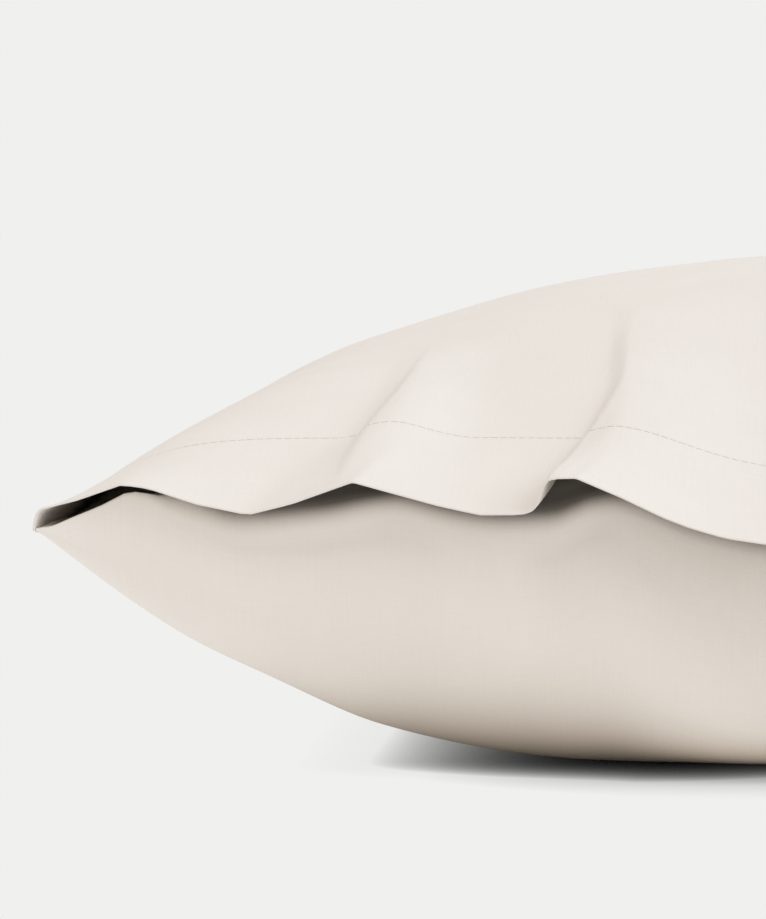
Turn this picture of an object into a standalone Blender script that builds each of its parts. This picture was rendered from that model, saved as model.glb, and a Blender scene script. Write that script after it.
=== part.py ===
"""A filled pillowcase, lying flat with its open end towards -Y.

The case is two pieces of cloth. The front panel is a thin sheet with a wide hem along the open
end. The back panel is drawn over the filling, wraps up round its end and turns in under the hem,
so it is one filled solid. Both end at the same seam line along the sides and the closed end.
Metres, +Z up, the origin on the surface under the middle of the case.

A place on the case is (across, back): across runs from -1 at the left seam to 1 at the right
one, and back is the distance behind the open edge.
"""

import math
from collections import namedtuple

import bmesh
import bpy

# Sizes of the filled case
HALF_WIDTH = 0.2350        # middle to a corner tip
HALF_LENGTH = 0.3675       # middle to a corner tip
SIDE_DRAW = 0.013          # the filling draws the long seams in by this much at mid-length
OPEN_DRAW = 0.013          # and the open edge, in its middle
CLOSED_DRAW = 0.016        # and the closed end
TIP_HEIGHT = 0.0765        # corner tips above the surface
SEAM_HEIGHT = 0.066        # long seams at mid-length
CLOSED_HEIGHT = 0.070      # seam along the closed end
CROWN_HEIGHT = 0.1457      # top of the filled back panel under the front panel
NOSE_DEPTH = 0.090         # how far the end curves back before it touches the surface
NOSE_CORNER = 0.65         # share of that depth lost towards the corners
NOSE_SETBACK = 0.010       # the end of the filling behind the hem's edge
TIP_SETBACK = 0.0015       # and at the corner tips
REST_DEPTH = 0.0010        # how far the surface flattens the belly

# The cloth
CLOTH = 0.0012
HEM_CLOTH = 0.0020
HEM_RUN = 0.047            # the 50 mm hem, seen from above
HEM_STEP = 0.0012          # its thickness ends over this length
GAP = 0.0004               # between the two pieces

# How full each part of the shape is: the powers of its curve
CROWN_ACROSS = 2.13        # crown from the middle to a long seam
CROWN_SHOULDER = 0.68      # and how steeply it meets the seam
BELLY_ACROSS = 3.3         # underside from the middle to a long seam
SEAM_ALONG = 3.0           # rise of the long seams to the corner tips
SIDE_CURVE = 2.4           # long seams, seen from above
OPEN_CURVE = 4.0           # open edge, seen from above
CLOSED_CURVE = 3.0         # closed end, seen from above
CLOSED_BELLY = 5.0         # underside up to the closed end
NOSE_ROUND = 2.5           # rounded end under the hem
NOSE_SIDES = 8.0           # its setback, which holds until near the tips
CORNER_SIDES = 3.0         # its depth, which shrinks towards the tips
SHOULDER_SIDES = 8.0       # the fuller shoulders beside the long seams
OPEN_FULLNESS = (2.1, 1.3, 14.0)     # at the middle, added across, added at the shoulders
CLOSED_FULLNESS = (2.8, 1.3, 8.0)
FOLD_SPREAD = 0.5          # how much wider a fold is where it dies out
STEEPEST = 1.6             # longest that a vertical gap or thickness is drawn
PROBE = 0.002              # step for reading a slope

# Height of the mouth across the case: distance from the middle, height
MOUTH_LINE = (
    (0.000, 0.0680),
    (0.070, 0.0822),
    (0.198, 0.0832),
    (0.235, 0.0765),
)

# A fold where it starts at the edge: its place across in metres from the middle, how far it lifts
# the cloth, its reach to the left and to the right, its length up the case, its lean to +X over
# that length, and how sharp its ridge is
Fold = namedtuple("Fold", "x lift left right length lean sharpness")

# Front panel, starting at the hem's edge
HEM_FOLDS = (
    Fold(-0.2280, 0.0068, 0.0064, 0.0170, 0.040, 0.000, 0.6),
    Fold(-0.2080, 0.0058, 0.0160, 0.0290, 0.045, 0.000, 1.2),
    Fold(-0.1710, -0.0034, 0.0220, 0.0220, 0.045, 0.000, 1.0),
    Fold(-0.1420, 0.0063, 0.0290, 0.0330, 0.190, 0.012, 1.4),
    Fold(-0.0960, -0.0038, 0.0290, 0.0110, 0.045, 0.000, 1.0),
    Fold(-0.0800, 0.0088, 0.0078, 0.0310, 0.170, 0.013, 0.8),
    Fold(0.0640, 0.0058, 0.0300, 0.0240, 0.150, -0.010, 1.3),
    Fold(0.1010, -0.0030, 0.0260, 0.0300, 0.045, 0.000, 1.0),
    Fold(0.1380, 0.0060, 0.0300, 0.0260, 0.180, -0.012, 1.4),
    Fold(0.1750, -0.0030, 0.0240, 0.0240, 0.045, 0.000, 1.0),
    Fold(0.2070, 0.0054, 0.0280, 0.0160, 0.045, 0.000, 1.2),
    Fold(0.2280, 0.0068, 0.0170, 0.0064, 0.040, 0.000, 0.6),
)

# Turned-in edge of the back panel, under the hem
FLAP_FOLDS = (
    Fold(-0.2050, 0.0030, 0.0160, 0.0280, 0.060, 0.000, 1.0),
    Fold(-0.1740, -0.0032, 0.0280, 0.0280, 0.045, 0.000, 1.0),
    Fold(-0.1420, 0.0034, 0.0280, 0.0330, 0.060, 0.000, 1.0),
    Fold(-0.1000, -0.0032, 0.0300, 0.0140, 0.045, 0.000, 1.0),
    Fold(-0.0830, -0.0040, 0.0120, 0.0120, 0.050, 0.000, 1.0),
    Fold(-0.0650, 0.0032, 0.0120, 0.0180, 0.060, 0.000, 1.0),
    Fold(0.0650, 0.0030, 0.0200, 0.0180, 0.060, 0.000, 1.0),
    Fold(0.1010, -0.0034, 0.0260, 0.0300, 0.045, 0.000, 1.0),
    Fold(0.1380, 0.0032, 0.0300, 0.0260, 0.060, 0.000, 1.0),
    Fold(0.1750, -0.0030, 0.0280, 0.0260, 0.045, 0.000, 1.0),
    Fold(0.2050, 0.0030, 0.0280, 0.0160, 0.060, 0.000, 1.0),
)

# Mesh spacing
COLUMN_STEP = 0.019        # between columns where the cloth is smooth
COLUMN_LEAST = 0.0036      # closest two columns
ROW_LEAST = 0.0018         # first row behind an edge
ROW_GROWTH = 1.6
ROW_STEP = 0.055           # rows over the middle
ROW_CLEAR = 0.005          # no other row this near the hem's stitching
HEM_ROWS = (0.0, 0.5)      # rows of the hem in front of the nose, as parts of its setback


def remove_old_objects():
    for old in list(bpy.data.objects):
        bpy.data.objects.remove(old, do_unlink=True)


def eased(rows, where):
    """A value read between the rows of a table, level at each row."""
    for (low, low_value), (high, high_value) in zip(rows, rows[1:]):
        if where <= high:
            part = (where - low) / (high - low)
            part = part * part * (3 - 2 * part)
            return low_value + (high_value - low_value) * part
    return rows[-1][1]


def open_edge(across):
    return -HALF_LENGTH + OPEN_DRAW * (1 - abs(across) ** OPEN_CURVE)


def closed_edge(across):
    return HALF_LENGTH - CLOSED_DRAW * (1 - abs(across) ** CLOSED_CURVE)


def run(across):
    """Distance from the open edge to the closed seam."""
    return closed_edge(across) - open_edge(across)


def end_share(across, back):
    """Signed distance from mid-length: 1 at the open edge, -1 at the closed seam."""
    return 1 - 2 * back / run(across)


def half_width(share):
    return HALF_WIDTH - SIDE_DRAW * (1 - abs(share) ** SIDE_CURVE)


def seam_height(share):
    end = TIP_HEIGHT if share > 0 else CLOSED_HEIGHT
    return SEAM_HEIGHT + (end - SEAM_HEIGHT) * abs(share) ** SEAM_ALONG


def fullness(powers, across):
    middle, added, shoulder = powers
    return middle + added * across ** 2 + shoulder * across ** SHOULDER_SIDES


def fold_lift(folds, across, back):
    """Height that the folds add at one place."""
    total = 0.0
    for fold in folds:
        up = back / fold.length
        if up >= 1:
            continue
        offset = across * HALF_WIDTH - fold.x - fold.lean * up
        reach = (fold.left if offset < 0 else fold.right) * (1 + FOLD_SPREAD * up)
        if abs(offset) < reach:
            ridge = 0.5 + 0.5 * math.cos(math.pi * offset / reach)
            total += fold.lift * ridge ** fold.sharpness * (1 - up) ** 2
    return total


def filled_top(across, back):
    """Top of the filling's shape, before any fold."""
    share = end_share(across, back)
    spread = min(1.0, abs(across))
    crown = (CROWN_HEIGHT - SEAM_HEIGHT) * (1 - spread ** CROWN_ACROSS) ** CROWN_SHOULDER
    if share > 0:
        end = eased(MOUTH_LINE, spread * HALF_WIDTH) - TIP_HEIGHT
        power = fullness(OPEN_FULLNESS, spread)
    else:
        end = 0.0
        power = fullness(CLOSED_FULLNESS, spread)
    return seam_height(share) + crown - (crown - end) * abs(share) ** power


def steepness(across, back):
    """How much longer a vertical gap is than the same gap square to the cloth."""
    inner = across * (1 - PROBE)
    beside = HALF_WIDTH * max(abs(across - inner), PROBE * PROBE)
    rise_x = (filled_top(across, back) - filled_top(inner, back)) / beside
    rise_y = (filled_top(inner, back + PROBE) - filled_top(inner, back)) / PROBE
    return min(STEEPEST, math.sqrt(1 + rise_x ** 2 + rise_y ** 2))


def panel_underside(across, back):
    gap = GAP * steepness(across, back)
    return filled_top(across, back) + gap + fold_lift(HEM_FOLDS, across, back)


def nose_setback(across):
    return TIP_SETBACK + (NOSE_SETBACK - TIP_SETBACK) * (1 - abs(across) ** NOSE_SIDES)


def nose_depth(across):
    return NOSE_DEPTH * (1 - NOSE_CORNER * abs(across) ** CORNER_SIDES)


def back_panel_top(across, back):
    turned = filled_top(across, back) + fold_lift(FLAP_FOLDS, across, back)
    return min(turned, panel_underside(across, back) - GAP * steepness(across, back))


def back_panel_bottom(across, back):
    """Belly, clipped flat where it rests, with its rounded nose and its closed end."""
    share = end_share(across, back)
    seam = seam_height(share)
    belly = (seam + REST_DEPTH) * abs(across) ** BELLY_ACROSS - REST_DEPTH
    if share > 0:
        depth = min(1.0, (back - nose_setback(across)) / nose_depth(across))
        curve = 1 - (1 - (1 - depth) ** NOSE_ROUND) ** (1 / NOSE_ROUND)
        top = back_panel_top(across, nose_setback(across))
    else:
        curve = abs(share) ** CLOSED_BELLY
        top = seam
    return max(0.0, belly + (top - belly) * curve)


def columns():
    """Places across the case: five through each fold, and more where those leave a wide gap."""
    places = {-HALF_WIDTH, HALF_WIDTH}
    for fold in HEM_FOLDS:
        places |= {fold.x - fold.left, fold.x - fold.left / 2, fold.x}
        places |= {fold.x + fold.right / 2, fold.x + fold.right}
    kept = []
    for spot in sorted(places):
        if abs(spot) <= HALF_WIDTH and (not kept or spot - kept[-1] >= COLUMN_LEAST):
            kept.append(spot)
    kept[-1] = HALF_WIDTH
    filled = [kept[0]]
    for spot in kept[1:]:
        start = filled[-1]
        count = math.ceil((spot - start) / COLUMN_STEP)
        filled += [start + (spot - start) * (index + 1) / count for index in range(count)]
    return [spot / HALF_WIDTH for spot in filled]


def growing_steps(length):
    """Distances from an edge that grow until they reach the plain row step."""
    steps = [0.0]
    step = ROW_LEAST
    while steps[-1] + step < length:
        steps.append(steps[-1] + step)
        step = min(step * ROW_GROWTH, ROW_STEP)
    return steps


def open_rows():
    """Rows behind the nose, one of them at the hem's stitching and one just past it."""
    rows = [step for step in growing_steps(HALF_LENGTH) if abs(step - HEM_RUN) > ROW_CLEAR]
    return sorted(rows + [HEM_RUN, HEM_RUN + HEM_STEP])


def row_backs(across):
    """Distances behind the open edge for one column, from the nose to the closed seam."""
    setback = nose_setback(across)
    backs = [row + setback * max(0.0, 1 - row / HEM_RUN) for row in open_rows()]
    closed = growing_steps(HALF_LENGTH - ROW_STEP)
    return backs + [run(across) - step for step in reversed(closed)]


def place(across, back, height):
    share = end_share(across, back)
    return (across * half_width(share), open_edge(across) + back, height)


def shell_mesh(name, upper, lower, shared_rim):
    """A closed mesh from two grids of points, each a list of columns from left to right."""
    mesh = bmesh.new()
    top = [[mesh.verts.new(point) for point in column] for column in upper]
    last_column, last_row = len(upper) - 1, len(upper[0]) - 1
    bottom = []
    for i, column in enumerate(lower):
        made = []
        for j, point in enumerate(column):
            on_rim = i in (0, last_column) or j in (0, last_row)
            made.append(top[i][j] if shared_rim and on_rim else mesh.verts.new(point))
        bottom.append(made)
    for i in range(last_column):
        for j in range(last_row):
            mesh.faces.new((top[i][j], top[i + 1][j], top[i + 1][j + 1], top[i][j + 1]))
            mesh.faces.new((bottom[i][j], bottom[i][j + 1], bottom[i + 1][j + 1], bottom[i + 1][j]))
    if not shared_rim:
        rim = [(i, 0) for i in range(last_column)]
        rim += [(last_column, j) for j in range(last_row)]
        rim += [(i, last_row) for i in range(last_column, 0, -1)]
        rim += [(0, j) for j in range(last_row, 0, -1)]
        for (i, j), (k, m) in zip(rim, rim[1:] + rim[:1]):
            mesh.faces.new((top[i][j], bottom[i][j], bottom[k][m], top[k][m]))
    bmesh.ops.triangulate(mesh, faces=mesh.faces[:])
    bmesh.ops.recalc_face_normals(mesh, faces=mesh.faces[:])
    data = bpy.data.meshes.new(name)
    mesh.to_mesh(data)
    mesh.free()
    data.shade_smooth()
    data.set_sharp_from_angle(angle=math.radians(50))
    made = bpy.data.objects.new(name, data)
    bpy.context.scene.collection.objects.link(made)
    return made


def cloth_material(name, colour, roughness):
    material = bpy.data.materials.new(name)
    material.use_nodes = True
    shader = material.node_tree.nodes["Principled BSDF"]
    shader.inputs["Base Color"].default_value = (*colour, 1.0)
    shader.inputs["Roughness"].default_value = roughness
    shader.inputs["Metallic"].default_value = 0.0
    return material


def make_front_panel():
    upper, lower = [], []
    for across in columns():
        over, under = [], []
        overhang = [nose_setback(across) * part for part in HEM_ROWS]
        for back in overhang + row_backs(across):
            height = panel_underside(across, back)
            thick = HEM_CLOTH if back < HEM_RUN + HEM_STEP / 2 else CLOTH
            under.append(place(across, back, height))
            over.append(place(across, back, height + thick * steepness(across, back)))
        upper.append(over)
        lower.append(under)
    return shell_mesh("front_panel", upper, lower, shared_rim=False)


def make_back_panel():
    upper, lower = [], []
    for across in columns():
        over, under = [], []
        for back in row_backs(across):
            over.append(place(across, back, back_panel_top(across, back)))
            under.append(place(across, back, back_panel_bottom(across, back)))
        upper.append(over)
        lower.append(under)
    return shell_mesh("filled_back_panel", upper, lower, shared_rim=True)


def main():
    remove_old_objects()
    cream = cloth_material("cream_percale", (0.80, 0.76, 0.69), 0.85)
    for made in (make_front_panel(), make_back_panel()):
        made.data.materials.append(cream)


main()
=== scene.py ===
import math
import bmesh
import bpy
import numpy as np
from mathutils import Euler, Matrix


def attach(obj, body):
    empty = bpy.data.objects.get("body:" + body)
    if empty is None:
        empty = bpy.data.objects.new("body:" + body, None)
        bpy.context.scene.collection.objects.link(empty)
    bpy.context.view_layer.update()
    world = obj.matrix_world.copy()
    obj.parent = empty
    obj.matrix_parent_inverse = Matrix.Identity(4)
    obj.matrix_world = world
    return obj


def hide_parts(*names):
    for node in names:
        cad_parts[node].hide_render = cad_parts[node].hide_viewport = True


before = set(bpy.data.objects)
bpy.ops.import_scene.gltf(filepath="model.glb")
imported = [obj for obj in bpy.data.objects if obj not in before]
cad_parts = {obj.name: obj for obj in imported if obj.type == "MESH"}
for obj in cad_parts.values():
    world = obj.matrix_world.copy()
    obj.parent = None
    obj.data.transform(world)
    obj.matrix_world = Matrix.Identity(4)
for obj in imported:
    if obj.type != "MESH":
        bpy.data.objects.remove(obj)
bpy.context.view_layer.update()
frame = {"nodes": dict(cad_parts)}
print("frame loaded:", ", ".join(frame["nodes"]))

# The filled case in metres. A place on it is (across, back): across is -1 at the left seam and 1 at
# the right one, back is the distance behind the open edge.
case = {
    "halfWidth": 0.2350,       # middle to a corner tip
    "flatHalf": 0.25,          # the same before it was filled
    "halfLength": 0.3675,
    "sideDraw": 0.013,         # seams drawn in by the filling
    "openDraw": 0.013,
    "closedDraw": 0.016,
    "tipHeight": 0.0765,       # corner tips at the mouth
    "seamHeight": 0.066,       # long seams at mid-length
    "closedHeight": 0.070,
    "crownHeight": 0.1473,
    "restDepth": 0.0010,
    "gap": 0.0004,             # between the two pieces
    "mouthLine": ((0.000, 0.0680), (0.070, 0.0822), (0.198, 0.0832), (0.235, 0.0765)),
    "crownAcross": 1.70,       # powers of the curves
    "crownShoulder": 0.510,
    "endShoulder": 0.654,
    "bellyAcross": 3.3,
    "bellyRaise": (0.172, 0.032, 0.0024, 0.30),    # from the middle, half width, height, reach
    "seamAlong": 3.0,
    "sideCurve": 2.4,
    "openCurve": 4.0,
    "closedCurve": 3.0,
    "closedBelly": 5.0,
    "openFullness": (2.19, 9.88, 5.08),    # power in the middle, added at the side, and how
    "closedFullness": (2.80, 9.30, 5.00),
}


def openEdge(across):
    return -case["halfLength"] + case["openDraw"] * (1 - abs(across) ** case["openCurve"])


def closedEdge(across):
    return case["halfLength"] - case["closedDraw"] * (1 - abs(across) ** case["closedCurve"])


def runLength(across):
    return closedEdge(across) - openEdge(across)


def endShare(across, back):  # 1 at the open edge, -1 at the closed seam
    return 1 - 2 * back / runLength(across)


def halfWidthAt(share):
    return case["halfWidth"] - case["sideDraw"] * (1 - abs(share) ** case["sideCurve"])


def seamHeightAt(share):
    end = np.where(share > 0, case["tipHeight"], case["closedHeight"])
    return case["seamHeight"] + (end - case["seamHeight"]) * abs(share) ** case["seamAlong"]


def eased(rows, where):  # a table's value, level at each row
    spots, values = zip(*rows)
    index = np.clip(np.searchsorted(spots, where) - 1, 0, len(rows) - 2)
    low, high = np.take(spots, index), np.take(spots, index + 1)
    part = np.clip((where - low) / (high - low), 0, 1)
    lowValue, highValue = np.take(values, index), np.take(values, index + 1)
    return lowValue + (highValue - lowValue) * part * part * (3 - 2 * part)


def softLine(rows, where, soft):  # straight from row to row, its corners rounded over soft
    spots, values = zip(*rows)
    total, weights = 0, 0
    for step in np.linspace(-1, 1, 9):
        weight = 1.05 - abs(step)  # most in the middle, a little at the ends
        total = total + weight * np.interp(where + step * soft, spots, values)
        weights += weight
    return total / weights


def smooth(value):  # 0 to 1, level at both ends
    value = np.clip(value, 0, 1)
    return value * value * (3 - 2 * value)


def bump(value):  # 1 at 0, level and 0 at -1 and 1
    return 0.5 + 0.5 * np.cos(np.pi * np.clip(value, -1, 1))


def fading(back, reach, power=2.0):  # 1 at the edge, 0 from reach on
    return np.clip(1 - back / reach, 0, 1) ** power


def fromSide(across, back):  # distance from the nearer long seam
    return (1 - abs(across)) * halfWidthAt(endShare(across, back))


puckers = {                    # where the filling gathers the seams, a range for each
    "seed": 23,
    "sideCount": 15,           # along a long seam
    "closedCount": 11,
    "cornerCount": 4,          # around a closed corner
    "width": (0.010, 0.018),
    "length": (0.035, 0.105),
    "slant": (-0.35, 0.35),
    "cornerWidth": (0.16, 0.24),   # in radians
    "cornerLength": (0.08, 0.15),
    "depth": (0.0012, 0.0038),
    "rise": 0.010,             # deepest this far from the seam
    "cornerRise": 0.055,       # and from a corner
    "widen": 1.3,              # they widen by this share over their length
    "fade": (1.5, 1.3),        # power at which they fade, along a seam and at a corner
    "start": 0.120,            # none nearer to the mouth
    "startSpan": 0.06,
    "closedMargin": 0.03,      # none nearer to a closed corner, along the closed seam
    "place": (0.15, 0.85),     # where in its share of the seam each starts
    "cornerPlace": (0.25, 0.75),
    "bend": 0.25,              # of the creases
    "creases": (               # soft troughs: x, back, degrees, half length, half width, depth
        (-0.147, 0.220, 90, 0.180, 0.048, 0.0018), (-0.155, 0.460, 90, 0.200, 0.055, 0.0015),
        (-0.050, 0.470, 72, 0.090, 0.020, 0.0022), (0.075, 0.400, 108, 0.120, 0.024, 0.0026),
        (-0.120, 0.540, 40, 0.080, 0.018, 0.0022), (0.020, 0.600, 86, 0.080, 0.022, 0.0028),
        (0.150, 0.260, 60, 0.080, 0.018, 0.0022), (0.100, 0.570, 140, 0.070, 0.018, 0.0020),
    ),
}


def madePuckers(seed):  # for one panel: seam, where on it, slant, width, length, depth
    rng = np.random.default_rng(seed)
    made = []
    reach = 2 * case["halfLength"] - puckers["start"]
    inner = case["halfWidth"] - puckers["closedMargin"]
    seams = ((-1, puckers["sideCount"], puckers["start"], reach),
             (1, puckers["sideCount"], puckers["start"], reach),
             (0, puckers["closedCount"], -inner, 2 * inner))
    for seam, count, first, span in seams:
        for number in range(count):
            spot = first + (number + rng.uniform(*puckers["place"])) * span / count
            values = [rng.uniform(*puckers[name]) for name in ("slant", "width", "length", "depth")]
            made.append((seam, spot, *values))
    corners = []
    for side in (-1, 1):
        for number in range(puckers["cornerCount"]):
            share = (number + rng.uniform(*puckers["cornerPlace"])) / puckers["cornerCount"]
            names = ("cornerWidth", "cornerLength", "depth")
            values = [rng.uniform(*puckers[name]) for name in names]
            corners.append((side, share * math.pi / 2, *values))
    return made, corners


def gathered(across, back, made):  # how far the puckers draw the cloth in
    x = across * case["halfWidth"]
    aside, closed = fromSide(across, back), runLength(across) - back
    seams, corners = made
    seamFade, cornerFade = puckers["fade"]
    total = 0
    for seam, spot, slant, width, length, depth in seams:
        along, away = (back, aside) if seam else (x, closed)
        wide = width * (1 + puckers["widen"] * away / length)
        shape = bump((along - spot - slant * away) / wide) * fading(away, length, seamFade)
        here = (np.sign(across) == seam) if seam else 1
        total = total + depth * shape * smooth(away / puckers["rise"]) * here
    away, angle = np.hypot(aside, closed), np.arctan2(closed, np.maximum(aside, 1e-9))
    for side, turn, width, length, depth in corners:
        shape = bump((angle - turn) / width) * fading(away, length, cornerFade)
        here = np.sign(across) == side
        total = total + depth * shape * smooth(away / puckers["cornerRise"]) * here
    return total * smooth((back - puckers["start"]) / puckers["startSpan"])


def creased(across, back):
    x = across * case["halfWidth"]
    total = 0
    for spotX, spotBack, degrees, halfLength, halfWide, depth in puckers["creases"]:
        turn = math.radians(degrees)
        along = (x - spotX) * math.cos(turn) + (back - spotBack) * math.sin(turn)
        beside = (back - spotBack) * math.cos(turn) - (x - spotX) * math.sin(turn)
        beside = beside + puckers["bend"] * along ** 2 / halfLength
        total = total + depth * bump(along / halfLength) * bump(beside / halfWide)
    return total


topPuckers = madePuckers(puckers["seed"])
bellyPuckers = madePuckers(puckers["seed"] + 1)


def filledTop(across, back):  # top of the filling's shape, before the folds at the mouth
    share = endShare(across, back)
    spread = np.minimum(1, abs(across))
    rise = case["crownHeight"] - case["seamHeight"]
    shoulder = case["endShoulder"] - case["crownShoulder"]
    shoulder = case["crownShoulder"] + shoulder * share ** 2
    crown = rise * (1 - spread ** case["crownAcross"]) ** shoulder
    mouth = eased(case["mouthLine"], spread * case["halfWidth"]) - case["tipHeight"]
    powers = []
    for middle, added, sideways in (case["openFullness"], case["closedFullness"]):
        powers.append(middle + added * spread ** sideways)
    end = np.where(share > 0, mouth, 0)
    power = np.where(share > 0, powers[0], powers[1])
    height = seamHeightAt(share) + crown - (crown - end) * abs(share) ** power
    return height - gathered(across, back, topPuckers) - creased(across, back)


# Folds of the front panel that run far back. Each has a steep side, whose path is given as (back,
# across), a crest beside it and a broad bump around the crest; side -1 has its steep side right.
longFolds = [
    {"side": 1, "lift": 0.0064, "length": 0.215, "flare": 0.0,
     "path": ((0.0, -0.1480), (0.030, -0.1467), (0.057, -0.1447), (0.100, -0.1392),
              (0.130, -0.1374), (0.160, -0.1368), (0.210, -0.1363)),
     "crest": ((0.0, 0.002), (0.030, 0.007), (0.057, 0.0110), (0.100, 0.0055), (0.150, 0.003)),
     "left": ((0.0, 0.031), (0.057, 0.019), (0.100, 0.014), (0.200, 0.014)),
     "right": ((0.0, 0.035), (0.057, 0.024), (0.200, 0.028)),
     "share": ((0.0, 0.0), (0.020, 0.20), (0.057, 0.36), (0.100, 0.40), (0.200, 0.30)),
     "width": ((0.0, 0.0050), (0.057, 0.0032), (0.100, 0.0020), (0.200, 0.0035)),
     "soft": ((0.0, 1.0), (0.3, 1.0))},
    {"side": 1, "lift": 0.0088, "length": 0.240, "flare": 0.5,
     "path": ((0.0, -0.0858), (0.030, -0.0812), (0.057, -0.0760), (0.085, -0.0719),
              (0.100, -0.0703), (0.125, -0.0701), (0.160, -0.0706), (0.240, -0.0710)),
     "crest": ((0.0, 0.006), (0.057, 0.0115), (0.100, 0.006), (0.160, 0.004)),
     "left": ((0.0, 0.009), (0.057, 0.013), (0.100, 0.008), (0.200, 0.012)),
     "right": ((0.0, 0.036), (0.057, 0.040), (0.200, 0.050)),
     "share": ((0.0, 0.45), (0.057, 0.50), (0.085, 0.75), (0.140, 0.85), (0.200, 0.80)),
     "width": ((0.0, 0.0030), (0.050, 0.0022), (0.085, 0.0046), (0.110, 0.0060), (0.160, 0.0066),
               (0.220, 0.0110)),
     "soft": ((0.0, 0.3), (0.050, 0.0), (0.110, 0.1), (0.150, 1.0))},
    {"side": -1, "lift": 0.0058, "length": 0.180, "flare": 0.3,
     "path": ((0.0, 0.0660), (0.057, 0.0640), (0.100, 0.0600), (0.170, 0.0585)),
     "crest": ((0.0, 0.002), (0.057, 0.0090), (0.100, 0.005)),
     "left": ((0.0, 0.024), (0.057, 0.014), (0.150, 0.014)),
     "right": ((0.0, 0.030), (0.057, 0.024), (0.150, 0.030)),
     "share": ((0.0, 0.0), (0.030, 0.2), (0.060, 0.45), (0.150, 0.4)),
     "width": ((0.0, 0.0040), (0.057, 0.0030), (0.150, 0.0050)),
     "soft": ((0.0, 1.0), (0.3, 1.0))},
    {"side": -1, "lift": 0.0060, "length": 0.200, "flare": 0.1,
     "path": ((0.0, 0.1400), (0.057, 0.1410), (0.100, 0.1370), (0.200, 0.1330)),
     "crest": ((0.0, 0.002), (0.057, 0.0100), (0.100, 0.006)),
     "left": ((0.0, 0.026), (0.057, 0.018), (0.150, 0.015)),
     "right": ((0.0, 0.030), (0.057, 0.022), (0.150, 0.026)),
     "share": ((0.0, 0.0), (0.030, 0.1), (0.060, 0.3), (0.150, 0.3)),
     "width": ((0.0, 0.0040), (0.057, 0.0032), (0.150, 0.0050)),
     "soft": ((0.0, 1.0), (0.3, 1.0))},
]

hem = {
    "edge": (                  # lower edge of the hem: across, height
        (-0.2360, 0.0812), (-0.2229, 0.0844), (-0.2097, 0.0890), (-0.2020, 0.0879),
        (-0.1880, 0.0832), (-0.1727, 0.0800), (-0.1598, 0.0832), (-0.1492, 0.0870),
        (-0.1419, 0.0896), (-0.1172, 0.0828), (-0.1044, 0.0800), (-0.0920, 0.0801),
        (-0.0888, 0.0812), (-0.0872, 0.0829), (-0.0856, 0.0882), (-0.0841, 0.0903),
        (-0.0813, 0.0908), (-0.0760, 0.0909), (-0.0631, 0.0854), (-0.0507, 0.0795),
        (-0.0427, 0.0764), (-0.0319, 0.0733), (-0.0203, 0.0716), (0.0000, 0.0696),
        (0.0200, 0.0710), (0.0340, 0.0742), (0.0640, 0.0878), (0.0880, 0.0826),
        (0.1010, 0.0795), (0.1080, 0.0800), (0.1380, 0.0888), (0.1640, 0.0818),
        (0.1750, 0.0800), (0.1850, 0.0818), (0.2070, 0.0880), (0.2229, 0.0844), (0.2360, 0.0815),
    ),
    "edgeSoft": 0.0009,
    "edgeReach": 0.062,        # its small waves die out this far back
    "lean": 0.0095,            # and lean to the middle meanwhile
    "leanEnd": (0.165, 0.040),     # less so from here on, over this width
    "flareReach": 0.055,       # how far back a long fold flares at the edge
    "foldSoft": 0.012,         # rounds the tables of the long folds
    "stitchLine": (            # stitching behind the edge: across, distance
        (-0.235, 0.0520), (-0.180, 0.0540), (-0.110, 0.0595), (-0.070, 0.0550), (-0.030, 0.0500),
        (0.030, 0.0500), (0.070, 0.0550), (0.110, 0.0590), (0.180, 0.0540), (0.235, 0.0520),
    ),
    "stitchSoft": 0.020,
    "thickness": 0.00050,
    "single": 0.00030,         # one layer of cloth behind the stitching
    "singleOver": 0.00040,     # the step between them
    "groove": 0.00028,         # the stitching pulls the cloth in by this much
    "grooveReach": 0.0009,
    "roll": 0.0011,            # the panel's edge rolls down over a seam by this much
    "rollReach": 0.0024,
}


def foldLift(x, back):
    total = 0
    for fold in longFolds:
        made = {name: softLine(fold[name], back, hem["foldSoft"])
                for name in ("path", "crest", "left", "right", "share", "width", "soft")}
        beside = fold["side"] * (x - made["path"])
        around = beside - made["crest"]
        reach = np.where(around < 0, made["left"], made["right"])
        climb = np.clip(beside / made["width"] + 0.5, 0, 1)
        climb = made["soft"] * smooth(climb) + (1 - made["soft"]) * climb ** 2
        steep = climb * bump(np.maximum(0, beside) / made["right"])
        shape = made["share"] * steep + (1 - made["share"]) * bump(around / reach)
        up = np.clip(back / fold["length"], 0, 1)
        lift = fold["flare"] * fading(back, hem["flareReach"])
        lift = lift + (1 - fold["flare"]) * (1 - up ** 2) ** 1.5
        total = total + fold["lift"] * lift * shape
    return total


def hemRest(x, back):  # what the hem's edge has besides the long folds
    start, over = hem["leanEnd"]
    outer = np.clip((abs(x) - start) / over, 0, 1)
    lean = -np.sign(x) * hem["lean"] * (1 - fading(back, hem["edgeReach"])) * (1 - outer)
    spot = np.clip(x - lean, -case["halfWidth"], case["halfWidth"])
    edge = softLine(hem["edge"], spot, hem["edgeSoft"])
    plain = filledTop(spot / case["halfWidth"], np.zeros_like(spot)) + foldLift(spot, 0 * spot)
    return (edge - plain - case["gap"]) * fading(back, hem["edgeReach"])


def rolled(distance, reach):  # a quarter round: 0 beyond reach, 1 at the edge
    return 1 - np.sqrt(1 - np.clip(1 - distance / reach, 0, 1) ** 2)


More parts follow.
